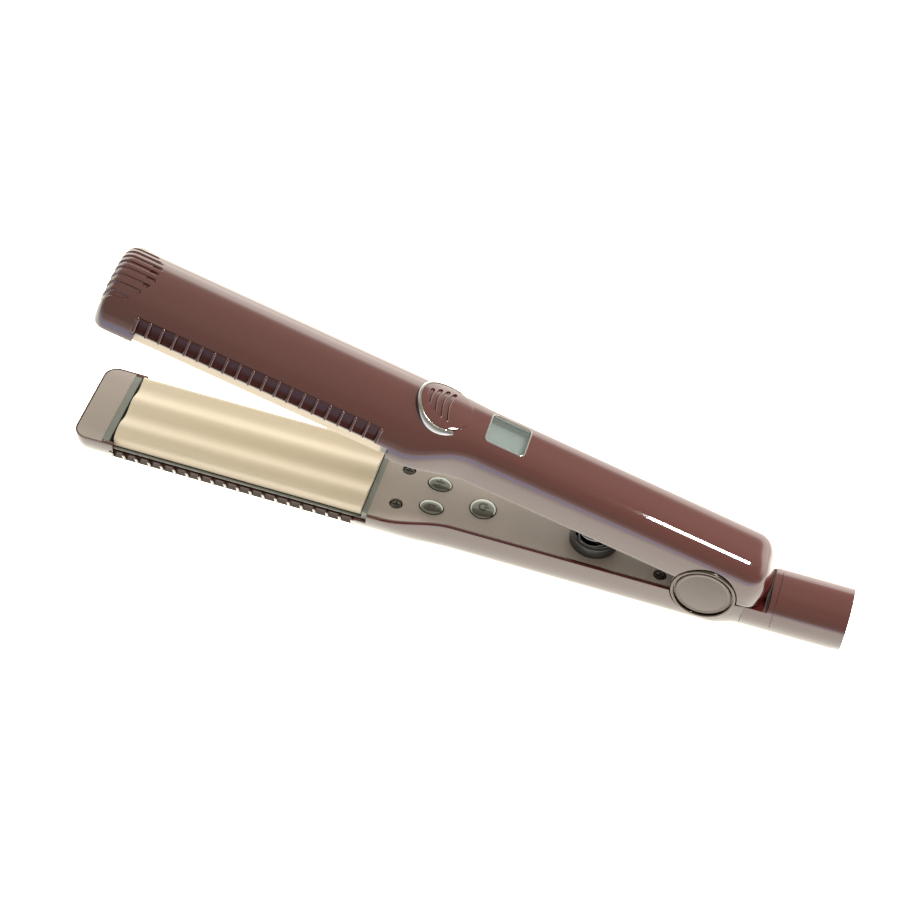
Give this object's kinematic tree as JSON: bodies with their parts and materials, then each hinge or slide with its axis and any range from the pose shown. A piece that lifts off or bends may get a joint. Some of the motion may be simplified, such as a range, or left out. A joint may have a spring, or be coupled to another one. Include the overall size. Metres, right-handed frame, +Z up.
{
  "type": "hair crimper",
  "caption": "Hinged hair crimper with waved heating plates, guide combs, sprung arms, readout, keys and a swivelling inlet at the tail.",
  "frame": {"origin": "centre of the bounding box's base, on the ground that the lower arm lies on", "axes": "+X along the arms towards the tail, Y along the hinge pin, +Z up, away from the lower arm's outer back"},
  "size_m": [0.296, 0.0394, 0.0923],
  "materials": {
    "burgundy_gloss": "clear-coated burgundy moulding",
    "taupe_cover": "fine satin taupe moulding",
    "comb_dark": "polished dark heat-proof resin",
    "plate_champagne": "satin champagne ceramic coating",
    "frame_grey": "grey-green heat-proof resin",
    "heater_ceramic": "white ceramic strip",
    "carrier_black": "black glass-filled resin",
    "silicone": "translucent silicone tube",
    "steel": "zinc-plated steel",
    "spring_steel": "dark oiled spring wire",
    "bush_bronze": "sintered bronze",
    "chrome_trim": "bright chrome plating",
    "button_metal": "metallised gunmetal",
    "black_moulding": "satin black moulding",
    "badge": "clear-domed smoke brown",
    "board": "glass-fibre circuit board",
    "switch": "small sealed switches",
    "window_clear": "clear moulded window",
    "display_lcd": "grey-green liquid-crystal panel",
    "wire": "silicone-insulated leads",
    "contact": "gold-flashed contacts"
  },
  "bodies": {
    "lower_arm": {"cap_badge_far": "badge", "cap_badge_near": "badge", "cap_ring_far": "badge", "cap_ring_near": "badge", "control_board": "board", "hinge_cap_far": "taupe_cover", "hinge_cap_near": "taupe_cover", "hinge_pin": "steel", "key_switches": "switch", "lower_comb_far": "comb_dark", "lower_comb_near": "comb_dark", "lower_cover_screws": "steel", "lower_hinge_ears": "steel", "lower_inner_cover": "taupe_cover", "lower_nose_cover": "taupe_cover", "lower_plate_carrier": "carrier_black", "lower_plate_cushions": "silicone", "lower_plate_frame": "frame_grey", "lower_rear_cover": "taupe_cover", "lower_shell": "burgundy_gloss", "lower_wiring": "wire", "opening_spring": "spring_steel", "spring_cup": "black_moulding", "swivel_keeper": "black_moulding", "tail_collar": "burgundy_gloss"},
    "upper_arm": {"upper_shell": "burgundy_gloss", "upper_nose_cover": "taupe_cover", "upper_inner_cover": "taupe_cover", "upper_rear_cover": "taupe_cover", "upper_comb_near": "comb_dark", "upper_comb_far": "comb_dark", "upper_plate_frame": "frame_grey", "upper_plate_cushions": "silicone", "upper_plate_carrier": "carrier_black", "upper_cover_screws": "steel", "display_bezel": "chrome_trim", "display_window": "window_clear", "display_panel": "display_lcd", "display_board": "board", "thumb_rest": "burgundy_gloss", "thumb_trim": "chrome_trim", "hinge_bush": "bush_bronze", "upper_hinge_knuckle": "steel", "spring_seat": "black_moulding", "upper_wiring": "wire"},
    "lower_plate_float": {"lower_plate": "plate_champagne", "lower_heater": "heater_ceramic"},
    "upper_plate_float": {"upper_plate": "plate_champagne", "upper_heater": "heater_ceramic"},
    "minus_key": {"button_minus": "button_metal"},
    "plus_key": {"button_plus": "button_metal"},
    "power_key": {"power_button": "button_metal"},
    "tail_swivel": {"swivel_sleeve": "burgundy_gloss", "inlet_socket": "black_moulding", "inlet_contacts": "contact"}
  },
  "joints": [
    {"name": "arm_hinge", "type": "hinge", "parent": "lower_arm", "child": "upper_arm", "pos_m": [0.0944, 0, 0.0196], "axis": [0, 1, 0], "range_deg": [-13, 0], "stiffness_Nm_per_rad": 0.8, "springref_deg": 20.05, "deforming": ["opening_spring"]},
    {"name": "lower_plate_give", "type": "slide", "parent": "lower_arm", "child": "lower_plate_float", "axis": [0, 0, -1], "range_m": [0, 0.0008], "stiffness_N_per_m": 4000, "springref_m": -0.0006, "deforming": ["lower_plate_cushions"]},
    {"name": "upper_plate_give", "type": "slide", "parent": "upper_arm", "child": "upper_plate_float", "axis": [0.225, 0, 0.9744], "range_m": [0, 0.0008], "stiffness_N_per_m": 4000, "springref_m": -0.0006, "deforming": ["upper_plate_cushions"]},
    {"name": "minus_press", "type": "slide", "parent": "lower_arm", "child": "minus_key", "axis": [0, 0, -1], "range_m": [0, 0.0006], "stiffness_N_per_m": 400, "springref_m": -0.0006},
    {"name": "plus_press", "type": "slide", "parent": "lower_arm", "child": "plus_key", "axis": [0, 0, -1], "range_m": [0, 0.0006], "stiffness_N_per_m": 400, "springref_m": -0.0006},
    {"name": "power_press", "type": "slide", "parent": "lower_arm", "child": "power_key", "axis": [0, 0, -1], "range_m": [0, 0.0006], "stiffness_N_per_m": 400, "springref_m": -0.0006},
    {"name": "tail_turn", "type": "hinge", "parent": "lower_arm", "child": "tail_swivel", "pos_m": [0.1345, 0, 0.01225], "axis": [1, 0, 0], "continuous": true}
  ]
}
